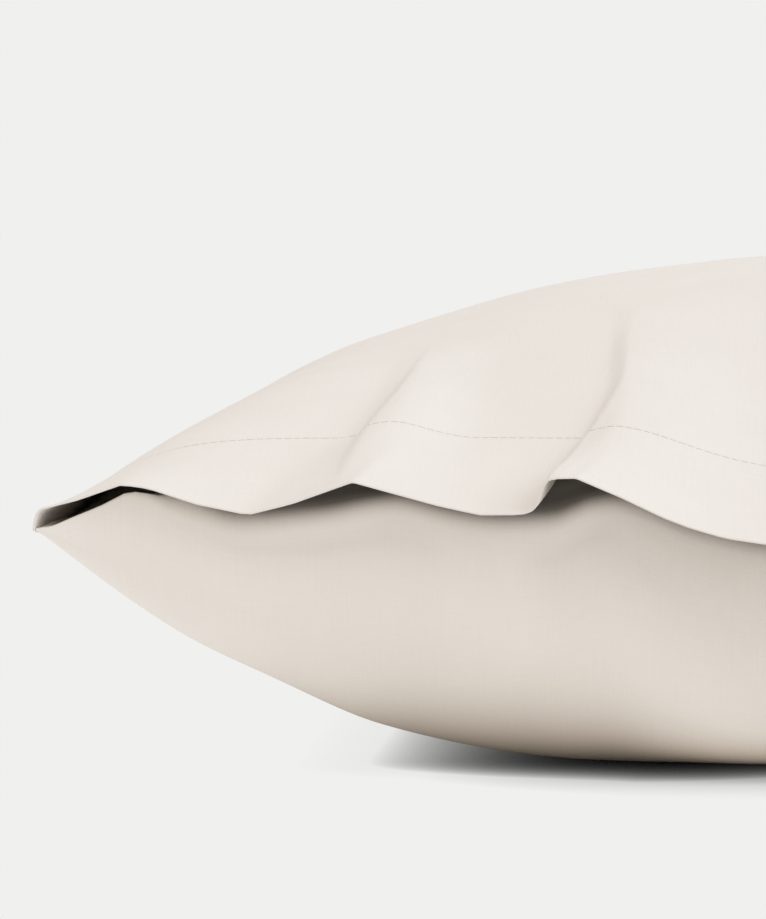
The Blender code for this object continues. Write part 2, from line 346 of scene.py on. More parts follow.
def panelUnderside(across, back):
    x = across * case["halfWidth"]
    height = filledTop(across, back) + case["gap"] + foldLift(x, back) + hemRest(x, back)
    atSeam = hemRest(np.sign(x) * case["halfWidth"] + 0 * x, back) + hem["roll"]
    closed = runLength(across) - back
    height = height - atSeam * rolled(fromSide(across, back), hem["rollReach"])
    return height - hem["roll"] * rolled(closed, hem["rollReach"])


def stitchBack(across):
    return softLine(hem["stitchLine"], across * case["halfWidth"], hem["stitchSoft"])


filled = {
    # Each row from here to turn has the distance from the middle first. endSoft rounds them.
    "endSoft": 0.010,
    "noseDepth": (             # how far the end curves back before it touches the surface
        (0.000, 0.110), (0.025, 0.110), (0.060, 0.089), (0.100, 0.0855), (0.150, 0.0748),
        (0.200, 0.0539), (0.235, 0.0315),
    ),
    "noseSetback": (           # behind the hem's edge
        (0.000, 0.0180), (0.030, 0.0175), (0.070, 0.0135), (0.100, 0.0105), (0.160, 0.0098),
        (0.200, 0.0078), (0.220, 0.0055), (0.235, 0.0015),
    ),
    "noseBulge": (             # swells forward again below its top edge
        (0.000, 0.0140), (0.020, 0.0135), (0.060, 0.0108), (0.120, 0.0070), (0.200, 0.0028),
        (0.235, 0.0),
    ),
    "bulgeAt": ((0.000, 0.46), (0.025, 0.48), (0.060, 0.60), (0.100, 0.62), (0.235, 0.62)),
    "noseSwell": 1.3,          # power of that swell
    "noseDent": (0.014, 0.064, 0.012),     # a hollow in the middle: across, half width, depth
    "noseAbove": (             # powers of its curve
        (0.000, 24.0), (0.025, 22.0), (0.045, 14.0), (0.063, 7.5), (0.085, 4.0), (0.120, 2.6),
        (0.200, 2.6), (0.235, 3.4),
    ),
    "noseBelow": (
        (0.000, 1.1), (0.025, 1.1), (0.045, 1.5), (0.063, 2.2), (0.085, 2.9), (0.120, 3.0),
        (0.200, 2.6), (0.235, 3.4),
    ),
    "turn": ((0.190, 0.0060), (0.212, 0.0012), (0.235, 0.0006)),   # radius of its turned-in edge
    "pockets": (               # hollows behind that edge at the corners: across, reach, depth
        (-0.2150, 0.0180, 0.0110), (0.2150, 0.0180, 0.0110),
    ),
    "pocketStart": 0.007,
    "pocketFrom": 0.030,
    "pocketTo": 0.080,
    "flap": (                  # the turned-in edge: across, height
        (-0.2350, 0.0764), (-0.2305, 0.0768), (-0.2265, 0.0787), (-0.2206, 0.0813),
        (-0.2161, 0.0832), (-0.2125, 0.0852), (-0.2102, 0.0866), (-0.2075, 0.0872),
        (-0.2030, 0.0868), (-0.1975, 0.0850), (-0.1909, 0.0836),
        (-0.1865, 0.0822), (-0.1821, 0.0804), (-0.1777, 0.0793), (-0.1690, 0.0793),
        (-0.1600, 0.0801), (-0.1513, 0.0810), (-0.1469, 0.0819), (-0.1424, 0.0831),
        (-0.1380, 0.0840), (-0.1336, 0.0848), (-0.1292, 0.0852), (-0.1248, 0.0842),
        (-0.1160, 0.0815), (-0.1072, 0.0795), (-0.0984, 0.0787), (-0.0863, 0.0787),
        (-0.0822, 0.0793), (-0.0802, 0.0802), (-0.0761, 0.0822), (-0.0740, 0.0834),
        (-0.0699, 0.0844), (-0.0658, 0.0850), (-0.0617, 0.0844), (-0.0570, 0.0826),
        (-0.0514, 0.0800), (-0.0455, 0.0772), (-0.0396, 0.0752), (-0.0279, 0.0720),
        (-0.0220, 0.0708), (0.0000, 0.0686), (0.0290, 0.0724), (0.0465, 0.0770),
        (0.0640, 0.0838), (0.0820, 0.0826), (0.1010, 0.0788), (0.1170, 0.0812),
        (0.1380, 0.0842), (0.1600, 0.0812), (0.1730, 0.0792), (0.1880, 0.0820),
        (0.2050, 0.0848), (0.2145, 0.0836), (0.2220, 0.0801), (0.2350, 0.0764),
    ),
    "flapSoft": 0.0026,
    "relief": 0.0012,          # room under the panel away from the seams
    "reliefSeam": 0.006,       # from none at a seam to all of it over this width
    "reliefEnd": (0.020, 0.030),       # the same behind the edge: from where, over how much
    "flapReach": 0.050,
    "bellyPuckers": (0.003, 0.020),    # height from which the belly puckers, and over how much
    "bellyRoom": 0.002,        # least thickness that its puckers leave
}


def endValue(name, across):
    return softLine(filled[name], abs(across) * case["halfWidth"], filled["endSoft"])


def noseSetback(across):
    return np.interp(abs(across) * case["halfWidth"], *zip(*filled["noseSetback"]))


def turnRadius(across):
    return eased(filled["turn"], abs(across) * case["halfWidth"])


def pocketDepth(x, behind):
    start = behind / filled["pocketStart"]
    end = (filled["pocketTo"] - behind) / (filled["pocketTo"] - filled["pocketFrom"])
    total = 0
    for spot, reach, depth in filled["pockets"]:
        total = total + depth * np.clip(1 - ((x - spot) / reach) ** 2, 0, 1)
    return total * smooth(start) * smooth(end)


def filledUnderPanel(across, back):  # top of the filled back panel, hidden but for its edge
    x = across * case["halfWidth"]
    behind = np.maximum(0, back - noseSetback(across))
    flap = softLine(filled["flap"], x, filled["flapSoft"])
    flap = flap - filledTop(across, noseSetback(across))
    inward = np.minimum(fromSide(across, back), runLength(across) - back)
    start, over = filled["reliefEnd"]
    relief = filled["relief"] * np.clip(inward / filled["reliefSeam"], 0, 1)
    relief = relief * np.clip((behind - start) / over, 0, 1)
    flap = flap * fading(behind, filled["flapReach"])
    height = filledTop(across, back) + flap - pocketDepth(x, behind) - relief
    lowest = panelUnderside(across, back) - case["gap"]
    return np.minimum(height, lowest)


def filledOver(across, back):  # the same with its turned-in edge rounded
    behind = np.maximum(0, back - noseSetback(across))
    turn = turnRadius(across)
    return filledUnderPanel(across, back) - turn * rolled(behind, turn)


def noseDepthAt(across, back):  # 0 at the end's top edge, 1 where it touches the surface
    return np.clip((back - noseSetback(across)) / endValue("noseDepth", across), 0, 1)


def filledBelly(across, back, depth):
    share = endShare(across, back)
    seam = filledOver(np.where(across < 0, -1.0, 1.0), back)
    rest = case["restDepth"]
    belly = (seam + rest) * abs(across) ** case["bellyAcross"] - rest
    spot, width, raised, reach = case["bellyRaise"]
    beside = (abs(across) * case["halfWidth"] - spot) / width
    belly = belly + raised * bump(beside) * fading(back, reach, 1.0)
    above, below = endValue("noseAbove", across), endValue("noseBelow", across)
    part = -np.expm1(below * np.log1p(-np.minimum(depth, 1 - 1e-12)))
    rounded = 1 - part ** (1 / above)
    curve = np.where(share > 0, rounded, abs(share) ** case["closedBelly"])
    top = filledOver(across, np.where(share > 0, noseSetback(across), runLength(across)))
    height = np.maximum(0, belly + (top - belly) * curve)
    start, over = filled["bellyPuckers"]
    drawn = gathered(across, back, bellyPuckers) * smooth((height - start) / over)
    room = np.maximum(0, filledOver(across, back) - height - filled["bellyRoom"])
    return height + np.minimum(drawn, room)


def noseForward(across, height, depth):  # how far the filling swells beyond the end's top edge
    top = filledOver(across, noseSetback(across))
    part = np.clip(height / top, 0, 1) ** endValue("bulgeAt", across)
    swell = np.sin(np.pi * part) ** filled["noseSwell"]
    spot, width, dent = filled["noseDent"]
    dent = dent * bump((across * case["halfWidth"] - spot) / width) * (1 - part ** 3)
    return (endValue("noseBulge", across) * swell - dent) * (1 - depth) ** 2


def placeOf(across, back, height):
    share = endShare(across, back)
    return np.stack((across * halfWidthAt(share), openEdge(across) + back, height), axis=-1)


def spacedTo(total, least, growth, most):  # distances from an edge that grow to an even step
    steps = [0.0]
    step = least
    while steps[-1] + step < total:
        steps.append(steps[-1] + step)
        step = min(step * growth, most)
    return np.array(steps)


seamColumns = {"span": 0.020, "least": 0.00012, "growth": 1.35}


def columnsAcross(plain, fineSpans):
    # positions across from -1 to 1: dense beside the seams and over the steep folds
    half = case["halfWidth"]
    side = spacedTo(seamColumns["span"], seamColumns["least"], seamColumns["growth"], plain)
    spots = [*side]
    while spots[-1] < 2 * half - seamColumns["span"]:
        step = plain
        for start, end, fine in fineSpans:
            if start < spots[-1] - half < end:
                step = fine
        spots.append(spots[-1] + step)
    spots = [spot for spot in spots if spot < 2 * half - side[-1] - plain / 2]
    return (np.array([*spots, *(2 * half - side[::-1])]) - half) / half


def normalsOf(points):
    normal = np.cross(np.gradient(points, axis=0), np.gradient(points, axis=1))
    return normal / np.linalg.norm(normal, axis=-1, keepdims=True)


def alongCloth(points):  # metres along each thread from the mouth
    steps = np.linalg.norm(np.diff(points, axis=1), axis=-1)
    return np.concatenate((np.zeros((len(points), 1)), np.cumsum(steps, axis=1)), axis=1)


def gridFaces(index):
    corners = (index[:-1, :-1], index[1:, :-1], index[1:, 1:], index[:-1, 1:])
    return np.stack([corner.ravel() for corner in corners], axis=-1)


def closedMesh(name, points, faces, uvs, marks):
    # closes what is open, turns all faces outward and keeps the marks as point attributes
    mesh = bpy.data.meshes.new(name)
    mesh.from_pydata(points.tolist(), [], faces.tolist())
    layer = mesh.uv_layers.new(name="clothUV")
    loops = np.empty(len(mesh.loops), dtype=np.int32)
    mesh.loops.foreach_get("vertex_index", loops)
    layer.data.foreach_set("uv", uvs[loops].astype(np.float32).ravel())
    for mark, values in marks.items():
        attribute = mesh.attributes.new(mark, "FLOAT", "POINT")
        attribute.data.foreach_set("value", values.astype(np.float32))
    shell = bmesh.new()
    shell.from_mesh(mesh)
    holes = [edge for edge in shell.edges if edge.is_boundary]
    bmesh.ops.holes_fill(shell, edges=holes, sides=4)
    bmesh.ops.recalc_face_normals(shell, faces=shell.faces[:])
    if shell.calc_volume(signed=True) < 0:
        bmesh.ops.reverse_faces(shell, faces=shell.faces[:])
    shell.to_mesh(mesh)
    shell.free()
    mesh.shade_smooth()
    piece = bpy.data.objects.new(name, mesh)
    bpy.context.scene.collection.objects.link(piece)
    print(name + ":", len(mesh.polygons), "faces")
    return piece


panelGrid = {
    "plain": 0.0032,
    "fine": ((-0.093, -0.060, 0.0008), (-0.152, -0.127, 0.0012), (0.052, 0.072, 0.0014),
             (0.130, 0.148, 0.0016)),
    "rowLeast": 0.0009,
    "rowGrowth": 1.12,
    "rowMost": 0.0041,
    "stitchRow": 0.0540,       # rows gather beside the stitching
    "stitchSpan": 0.0049,
    "stitchRows": 15,
    "stitchClear": 1.15,
    "follow": ((0, 0), (0.044, 1), (0.064, 1), (0.16, 0)),     # how far rows follow it: back, share
    "stretchFrom": 0.17,       # rows behind this meet in the middle of the case
    "closedSpan": 0.003,       # rows stop short of the middle by this
    "closedLeast": 0.0005,
    "closedGrowth": 1.25,
}
# Painted shade: this mark says where cloth lies in the dark, and the cloth's colour is darkened
# there.
paintedShadeTable = {
    "share": ((0.180, 1.0), (0.195, 0.30), (0.205, 0.0), (0.216, 0.20), (0.235, 0.20)),    # across
    "under": (0.001, 0.009),   # on the panel's underside: from and to, behind the edge
    "underShare": 0.70,
    "wall": (0.2275, 0.0050),  # but not on its rolled side: from the middle, over how much
    "start": 0.05,             # on the filled part: how far behind its edge, in turns
    "reach": (0.0014, 0.40),   # over how much: a width, and more for each turn
    "deep": (0.66, 0.007, 0.008),      # less painted shade deep in: share, from where, over how much
    "underHemShade": (                # painted shade below the hem: how much, across, share
        (-0.190, 0.0), (-0.165, 0.6), (-0.150, 1.0), (-0.125, 0.9), (-0.112, 0.0), (-0.094, 0.0),
        (-0.086, 0.9), (-0.070, 0.9), (-0.055, 0.4), (-0.040, 0.0), (0.045, 0.0), (0.066, 0.9),
        (0.090, 0.0), (0.115, 0.0), (0.138, 0.9), (0.165, 0.0),
    ),
    "underHemShadeSoft": 0.004,
    "shade": ((0.46, 0.0022), (0.14, 0.010)),  # its parts: strength, reach
}


def panelRows():
    rows = spacedTo(case["halfLength"], panelGrid["rowLeast"], panelGrid["rowGrowth"],
                    panelGrid["rowMost"])
    spot, span = panelGrid["stitchRow"], panelGrid["stitchSpan"]
    rows = [row for row in rows if abs(row - spot) > span * panelGrid["stitchClear"]]
    return np.array(sorted([*rows, *(spot + np.linspace(-span, span, panelGrid["stitchRows"]))]))


def makeFrontPanel():
    across = columnsAcross(panelGrid["plain"], panelGrid["fine"])
    openRows = panelRows()
    closedRows = spacedTo(case["halfLength"] - panelGrid["closedSpan"], panelGrid["closedLeast"],
                          panelGrid["closedGrowth"], panelGrid["rowMost"])[::-1]
    shift = (stitchBack(across) - panelGrid["stitchRow"])[:, None]
    follow = np.interp(openRows, *zip(*panelGrid["follow"]))[None, :]
    start = panelGrid["stretchFrom"]
    short = (runLength(across)[:, None] / 2 - case["halfLength"]) / (case["halfLength"] - start)
    openBack = openRows[None, :] + shift * follow + short * np.maximum(0, openRows - start)[None, :]
    closedBack = closedRows[None, :] + short * np.maximum(0, closedRows - start)[None, :]
    back = np.concatenate((openBack, runLength(across)[:, None] - closedBack), axis=1)
    grid = np.repeat(across[:, None], back.shape[1], axis=1)
    under = placeOf(grid, back, panelUnderside(grid, back))
    normal = normalsOf(under)
    fromStitch = back - stitchBack(grid)
    groove = hem["groove"] * np.exp(-(fromStitch / hem["grooveReach"]) ** 2)
    over = under + normal * (hem["thickness"] - groove)[..., None]
    single = (hem["thickness"] - hem["single"]) / (1 + np.exp(-fromStitch / hem["singleOver"]))
    under = under + normal * single[..., None]
    middle = (under[:, 0] + over[:, 0]) / 2
    middle[:, 1] -= hem["thickness"] / 2
    uv = np.stack((grid * case["flatHalf"], alongCloth(over)), axis=-1)
    # Painted shade on the panel's underside behind its edge, none on its rolled side
    start, wide = paintedShadeTable["wall"]
    wall = smooth((abs(grid) * case["halfWidth"] - start) / wide)
    start, end = paintedShadeTable["under"]
    share = paintedShadeTable["underShare"] * eased(paintedShadeTable["share"], abs(grid) * case["halfWidth"])
    paintedShade = share * smooth((back - start) / (end - start)) * (1 - wall)
    upper = np.arange(grid.size).reshape(grid.shape)
    lower = upper + grid.size
    edge = 2 * grid.size + np.arange(len(across))
    faces = [gridFaces(upper), gridFaces(lower)[:, ::-1]]
    rims = ((upper[:, 0], edge), (edge, lower[:, 0]), (lower[:, -1], upper[:, -1]),
            (lower[0], upper[0]), (upper[-1], lower[-1]))
    for outer, inner in rims:
        faces.append(np.stack((outer[:-1], inner[:-1], inner[1:], outer[1:]), axis=-1))
    points = np.concatenate((over.reshape(-1, 3), under.reshape(-1, 3), middle))
    uvs = np.concatenate((uv.reshape(-1, 2), uv.reshape(-1, 2), uv[:, 0]))
    none = np.zeros(len(across))
    marks = {"paintedShade": np.concatenate((0 * paintedShade.ravel(), paintedShade.ravel(), none)),
             "fromStitch": np.concatenate((fromStitch.ravel(), 1 + 0 * paintedShade.ravel(), none + 1))}
    return closedMesh("frontPanel", points, np.concatenate(faces), uvs, marks)


backGrid = {
    "plain": 0.0032,
    "fine": ((-0.096, -0.052, 0.0020),),
    "noseRows": 46,
    "noseSpread": 1.7,         # power that gathers rows at its edge
    "middleRows": 140,
    "closedSpan": 0.030,
    "closedLeast": 0.0005,
    "closedGrowth": 1.3,
    "closedMost": 0.0040,
}


def makeFilledBack():
    across = columnsAcross(backGrid["plain"], backGrid["fine"])
    part = np.arange(backGrid["noseRows"]) / backGrid["noseRows"]
    above, below = (endValue(name, across)[:, None] for name in ("noseAbove", "noseBelow"))
    even = part[None, :] ** backGrid["noseSpread"]
    turned = 1 - (1 - np.sin(part * np.pi / 2)[None, :] ** (2 * above / below)) ** (1 / below)
    atTip = (abs(across) ** 10)[:, None]
    setback, depth = noseSetback(across)[:, None], endValue("noseDepth", across)[:, None]
    closedRows = spacedTo(backGrid["closedSpan"], backGrid["closedLeast"],
                          backGrid["closedGrowth"], backGrid["closedMost"])[::-1]
    start, end = setback + depth, runLength(across)[:, None] - closedRows[0]
    middle = np.arange(backGrid["middleRows"])[None, :] / backGrid["middleRows"]
    rest = (start + (end - start) * middle, runLength(across)[:, None] - closedRows[None, :])
    upperBack = np.concatenate((setback + depth * even, *rest), axis=1)
    nose = even * atTip + turned * (1 - atTip)
    lowerBack = np.concatenate((setback + depth * nose, *rest), axis=1)
    grid = np.repeat(across[:, None], upperBack.shape[1], axis=1)
    top = placeOf(grid, upperBack, filledOver(grid, upperBack))
    noseDepths = noseDepthAt(grid, lowerBack)
    noseDepths[:, :backGrid["noseRows"]] = nose
    bellyHeight = filledBelly(grid, lowerBack, noseDepths)
    belly = placeOf(grid, lowerBack, bellyHeight)
    belly[..., 1] -= noseForward(grid, bellyHeight, noseDepths)
    rim = np.zeros(grid.shape, dtype=bool)
    rim[[0, -1], :] = True
    rim[:, [0, -1]] = True
    upper = np.arange(grid.size).reshape(grid.shape)
    lower = np.where(rim, upper, upper + grid.size)
    uvs = [np.stack((grid * case["flatHalf"], sign * alongCloth(side)), axis=-1).reshape(-1, 2)
           for sign, side in ((-1, top), (1, belly))]
    # Painted shade on the filled panel, behind its turned edge and on its end just below the hem
    behind = upperBack - setback
    least, more = paintedShadeTable["reach"]
    turn = turnRadius(grid)
    share = eased(paintedShadeTable["share"], abs(grid) * case["halfWidth"])
    paintedShade = share * smooth((behind - paintedShadeTable["start"] * turn) / (least + more * turn))
    deep, start, over = paintedShadeTable["deep"]
    paintedShade = paintedShade * (1 - (1 - deep) * smooth((behind - start) / over))
    below = filledOver(grid, setback + 0 * grid) - bellyHeight
    underHemShade = softLine(paintedShadeTable["underHemShade"], grid * case["halfWidth"], paintedShadeTable["underHemShadeSoft"])
    shade = sum(strength * np.exp(-below / far) for strength, far in paintedShadeTable["shade"])
    marks = {"paintedShade": np.concatenate((paintedShade.ravel(), (underHemShade * shade).ravel())),
             "fromStitch": 1 + np.zeros(2 * grid.size)}
    faces = np.concatenate((gridFaces(upper), gridFaces(lower)[:, ::-1]))
    used, faces = np.unique(faces, return_inverse=True)
    points = np.concatenate((top.reshape(-1, 3), belly.reshape(-1, 3)))[used]
    marks = {name: values[used] for name, values in marks.items()}
    uvs = np.concatenate(uvs)[used]
    return closedMesh("filledBackPanel", points, faces.reshape(-1, 4), uvs, marks)


frontPanel = makeFrontPanel()
filledBack = makeFilledBack()

stitching = {
    "pitch": 0.0028,
    "length": 0.0024,
    "thick": 0.00026,
    "sunk": 0.00006,
    "vary": (0.88, 1.08),      # size of the smallest and the largest
    "across": 0.988,           # how far it runs to each side
    "spots": 900,              # along its path
    "probe": 0.0004,           # step that reads the cloth's slope
    "seed": 7,
}


def nodeIn(tree, kind, settings=None, inputs=None):  # an input takes a value, a socket or a Wire
    node = tree.nodes.new(kind)
    for name, value in (settings or {}).items():
        setattr(node, name, value)
    for name, value in (inputs or {}).items():
        value = getattr(value, "socket", value)
        if isinstance(value, bpy.types.NodeSocket):
            tree.links.new(value, node.inputs[name])
        else:
            node.inputs[name].default_value = value
    return node


def stitchTree(thread):
    tree = bpy.data.node_groups.new("hemStitching", "GeometryNodeTree")
    tree.interface.new_socket("Geometry", in_out="OUTPUT", socket_type="NodeSocketGeometry")
    for name, kind in (("Geometry", "NodeSocketGeometry"), ("Pitch", "NodeSocketFloat"),
                       ("Length", "NodeSocketFloat"), ("Thick", "NodeSocketFloat"),
                       ("Smallest", "NodeSocketFloat"), ("Largest", "NodeSocketFloat"),
                       ("Seed", "NodeSocketInt")):
        tree.interface.new_socket(name, in_out="INPUT", socket_type=kind)
    given = nodeIn(tree, "NodeGroupInput").outputs
    curve = nodeIn(tree, "GeometryNodeMeshToCurve", inputs={"Mesh": given["Geometry"]})
    spots = nodeIn(tree, "GeometryNodeCurveToPoints", {"mode": "LENGTH"},
                   {"Curve": curve.outputs["Curve"], "Length": given["Pitch"]})
    bead = nodeIn(tree, "GeometryNodeMeshIcoSphere", inputs={"Radius": 0.5, "Subdivisions": 2})
    size = nodeIn(tree, "ShaderNodeCombineXYZ", inputs={
        "X": given["Thick"], "Y": given["Thick"], "Z": given["Length"]})
    jitter = nodeIn(tree, "FunctionNodeRandomValue", {"data_type": "FLOAT"},
                    {2: given["Smallest"], 3: given["Largest"], "Seed": given["Seed"]})
    scale = nodeIn(tree, "ShaderNodeVectorMath", {"operation": "SCALE"},
                   {0: size.outputs["Vector"], "Scale": jitter.outputs[1]})
    placed = nodeIn(tree, "GeometryNodeInstanceOnPoints", inputs={
        "Points": spots.outputs["Points"], "Instance": bead.outputs["Mesh"],
        "Rotation": spots.outputs["Rotation"], "Scale": scale.outputs["Vector"]})
    real = nodeIn(tree, "GeometryNodeRealizeInstances",
                  inputs={"Geometry": placed.outputs["Instances"]})
    smoothed = nodeIn(tree, "GeometryNodeSetShadeSmooth",
                      inputs={"Geometry": real.outputs["Geometry"]})
    dressed = nodeIn(tree, "GeometryNodeSetMaterial", inputs={
        "Geometry": smoothed.outputs["Geometry"], "Material": thread})
    nodeIn(tree, "NodeGroupOutput", inputs={"Geometry": dressed.outputs["Geometry"]})
    return tree


def makeStitching(thread):
    across = np.linspace(-stitching["across"], stitching["across"], stitching["spots"])
    back = stitchBack(across)
    step = stitching["probe"]
    under = placeOf(across, back, panelUnderside(across, back))
    ahead = placeOf(across, back + step, panelUnderside(across, back + step))
    beside = placeOf(across + step, back, panelUnderside(across + step, back))
    normal = np.cross(beside - under, ahead - under)
    normal /= np.linalg.norm(normal, axis=-1, keepdims=True)
    height = hem["thickness"] - hem["groove"] + stitching["thick"] / 2 - stitching["sunk"]
    path = under + normal * height
    mesh = bpy.data.meshes.new("stitchPath")
    links = np.stack((np.arange(len(path) - 1), np.arange(1, len(path))), axis=-1)
    mesh.from_pydata(path.tolist(), links.tolist(), [])
    piece = bpy.data.objects.new("hemStitching", mesh)
    bpy.context.scene.collection.objects.link(piece)
    tree = stitchTree(thread)
    modifier = piece.modifiers.new("stitches", "NODES")
    modifier.node_group = tree
    smallest, largest = stitching["vary"]
    given = {"Pitch": stitching["pitch"], "Length": stitching["length"],
             "Thick": stitching["thick"], "Smallest": smallest, "Largest": largest,
             "Seed": stitching["seed"]}
    for socket in tree.interface.items_tree:
        if socket.in_out == "INPUT" and socket.name in given:
            modifier[socket.identifier] = given[socket.name]
    graph = bpy.context.evaluated_depsgraph_get()
    made = bpy.data.meshes.new_from_object(piece.evaluated_get(graph))
    piece.modifiers.clear()
    piece.data = made
    made.name = "hemStitching"
    bpy.data.meshes.remove(mesh)
    print("hemStitching:", len(made.polygons), "faces")
    return piece


class Wire:  # a shader socket that takes arithmetic
    def __init__(self, tree, socket):
        self.tree = tree
        self.socket = socket

    def worked(self, operation, *values):
        inputs = dict(enumerate(values))
        node = nodeIn(self.tree, "ShaderNodeMath", {"operation": operation}, inputs)
        return Wire(self.tree, node.outputs[0])

    def __add__(self, other):
        return self.worked("ADD", self, other)

    def __radd__(self, other):
        return self.worked("ADD", other, self)

    def __sub__(self, other):
        return self.worked("SUBTRACT", self, other)

    def __rsub__(self, other):
        return self.worked("SUBTRACT", other, self)

    def __mul__(self, other):
        return self.worked("MULTIPLY", self, other)

    def __rmul__(self, other):
        return self.worked("MULTIPLY", other, self)

    def __truediv__(self, other):
        return self.worked("DIVIDE", self, other)

    def __rtruediv__(self, other):
        return self.worked("DIVIDE", other, self)

    def __neg__(self):
        return self.worked("MULTIPLY", self, -1.0)

    def atMost(self, other):
        return self.worked("MINIMUM", self, other)

    def sine(self):
        return self.worked("SINE", self)

    def exponential(self):
        return self.worked("EXPONENT", self)


percale = {
    "colour": (0.80, 0.744, 0.685),
    "slub": (0.765, 0.708, 0.648),     # thicker or darker yarns
    "paintedShadeColour": (0.172, 0.154, 0.132),   # painted shade: the colour of cloth where no light gets in
    "thread": (0.70, 0.645, 0.585),
    "yarn": 0.00030,                   # from one yarn to the next
    "yarnGrain": (1400, 1, 0.04),      # scale, detail, stretch
    "cloudGrain": (22, 3, 1),
    "puckerGrain": (170, 2, 0.12),     # beside the stitching
    "slubShare": (0.62, 0.90, -0.20),  # of yarns, of clouds, and less throughout
    # how far the painted shade darkens the cloth
    "paintedShadeShare": 0.93,
    # painted shade along the stitching groove, toward the thread's colour: how much, how wide
    "grooveShadeShare": 0.30,
    "grooveShadeWidth": 0.00026,
    "puckerWidth": 0.0022,
    "weaveHeight": 0.00002,
    "yarnHeight": 0.00003,
    "puckerHeight": 0.00050,
    "bump": 0.6,
    "roughness": 0.86,
    "specular": 0.22,
    "sheen": 0.06,
    "threadRoughness": 0.7,
    "threadSpecular": 0.3,
}


def mixedColours(tree, factor, first, second):
    inputs = {0: factor, 6: first, 7: second}
    inputs = {slot: (*value, 1) if isinstance(value, tuple) else value
              for slot, value in inputs.items()}
    node = nodeIn(tree, "ShaderNodeMix", {"data_type": "RGBA"}, inputs)
    return Wire(tree, node.outputs[2])


def clothMaterial():
    material = bpy.data.materials.new("creamPercale")
    material.use_nodes = True
    tree = material.node_tree
    shader = tree.nodes["Principled BSDF"]
    uv = nodeIn(tree, "ShaderNodeUVMap", {"uv_map": "clothUV"}).outputs["UV"]
    parts = nodeIn(tree, "ShaderNodeSeparateXYZ", inputs={"Vector": uv})
    weft, warp = Wire(tree, parts.outputs["X"]), Wire(tree, parts.outputs["Y"])

    def marked(name):
        node = nodeIn(tree, "ShaderNodeAttribute", {"attribute_name": name})
        return Wire(tree, node.outputs["Fac"])

    def grain(name, turned=False):
        scale, detail, stretch = percale[name]
        spot = nodeIn(tree, "ShaderNodeVectorMath", {"operation": "MULTIPLY"},
                      {0: uv, 1: (stretch, 1, 1) if turned else (1, stretch, 1)})
        noise = nodeIn(tree, "ShaderNodeTexNoise", {"noise_dimensions": "2D"},
                       {"Vector": spot.outputs["Vector"], "Scale": scale, "Detail": detail})
        return Wire(tree, noise.outputs["Fac"])

    def beside(distance, width):  # 1 on a line, fading over its width
        return (-(distance * distance / width ** 2)).exponential()

    turn = math.pi / percale["yarn"]
    weave = (weft * turn).sine() * (warp * turn).sine() * 0.5 + 0.5
    yarns = grain("yarnGrain") + grain("yarnGrain", turned=True)
    cloudy = grain("cloudGrain")
    fromStitch, paintedShade = marked("fromStitch"), marked("paintedShade")
    pucker = grain("puckerGrain") * beside(fromStitch, percale["puckerWidth"])
    grooveShade = beside(fromStitch, percale["grooveShadeWidth"])
    ofYarns, ofClouds, less = percale["slubShare"]
    slubs = yarns * ofYarns + (cloudy - 0.5) * ofClouds + less
    colour = mixedColours(tree, slubs, percale["colour"], percale["slub"])
    # painted shade along the stitching groove
    colour = mixedColours(tree, grooveShade * percale["grooveShadeShare"], colour, percale["thread"])
    # painted shade where the cloth lies in the dark
    colour = mixedColours(tree, paintedShade * percale["paintedShadeShare"], colour, percale["paintedShadeColour"])
    tree.links.new(colour.socket, shader.inputs["Base Color"])
    height = (weave * percale["weaveHeight"] + yarns * percale["yarnHeight"]
              + pucker * percale["puckerHeight"])
    bumped = nodeIn(tree, "ShaderNodeBump", inputs={
        "Height": height, "Distance": 1.0, "Strength": percale["bump"]})
    tree.links.new(bumped.outputs["Normal"], shader.inputs["Normal"])
    shader.inputs["Roughness"].default_value = percale["roughness"]
    shader.inputs["Specular IOR Level"].default_value = percale["specular"]
    shader.inputs["Sheen Weight"].default_value = percale["sheen"]
    return material


def threadMaterial():
    material = bpy.data.materials.new("creamThread")
    material.use_nodes = True
    shader = material.node_tree.nodes["Principled BSDF"]
    shader.inputs["Base Color"].default_value = (*percale["thread"], 1)
    shader.inputs["Roughness"].default_value = percale["threadRoughness"]
    shader.inputs["Specular IOR Level"].default_value = percale["threadSpecular"]
    return material


cloth = clothMaterial()
frontPanel.data.materials.append(cloth)
filledBack.data.materials.append(cloth)
print("cloth and thread ready")
stitches = makeStitching(threadMaterial())
for piece in (frontPanel, filledBack, stitches):
    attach(piece, "root")
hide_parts("front_panel")
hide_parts("filled_back_panel")

# Floor, light and camera
view = {
    "distance": 2.2,           # camera to the corner tips
    "height": 0.210,
    "focal": 7524,             # in pixels of the photograph
    "longSide": 919,
    "sensor": 36,
    "farthest": 200,
    "horizon": 74,             # row of the horizon and column straight ahead, in the photograph
    "ahead": 835,
    "centre": (383, 459.5),
}
studio = {
    "seen": (0.8714, 0.8714, 0.855),   # floor and sky as the camera sees them
    "floorGlow": 1.02,                 # painted bounce light the floor sends up: it glows, taking no light
    "floorWarm": (1.15, 0.94, 0.67),       # painted warm bounce: its colour where the cloth hides the room
    "floorCorners": [(-40, -24, 0), (40, -24, 0), (0, 46, 0)],     # one face, so no edge shows
    "floorDark": (0.072, 0.035, 0.14),     # painted shade: less glow this near a piece: in the middle, outside, span
    "contact": (0.003, 0.013, 0.06),       # painted contact shadow, the same as the camera sees it
    "contactSoft": (0.050, 0.022, 0.125),  # with this besides, by its share
    "softShare": (0.60, 0.12, 0.125),
    "frontAt": 0.40,                       # the middle is here in front
    "frontSpread": 0.20,
    "sky": (0.875, 0.860, 0.840),
    "window": {"strength": 1.05, "colour": (0.86, 1.0, 1.15), "size": 60, "turn": (50, 0, 90)},
}


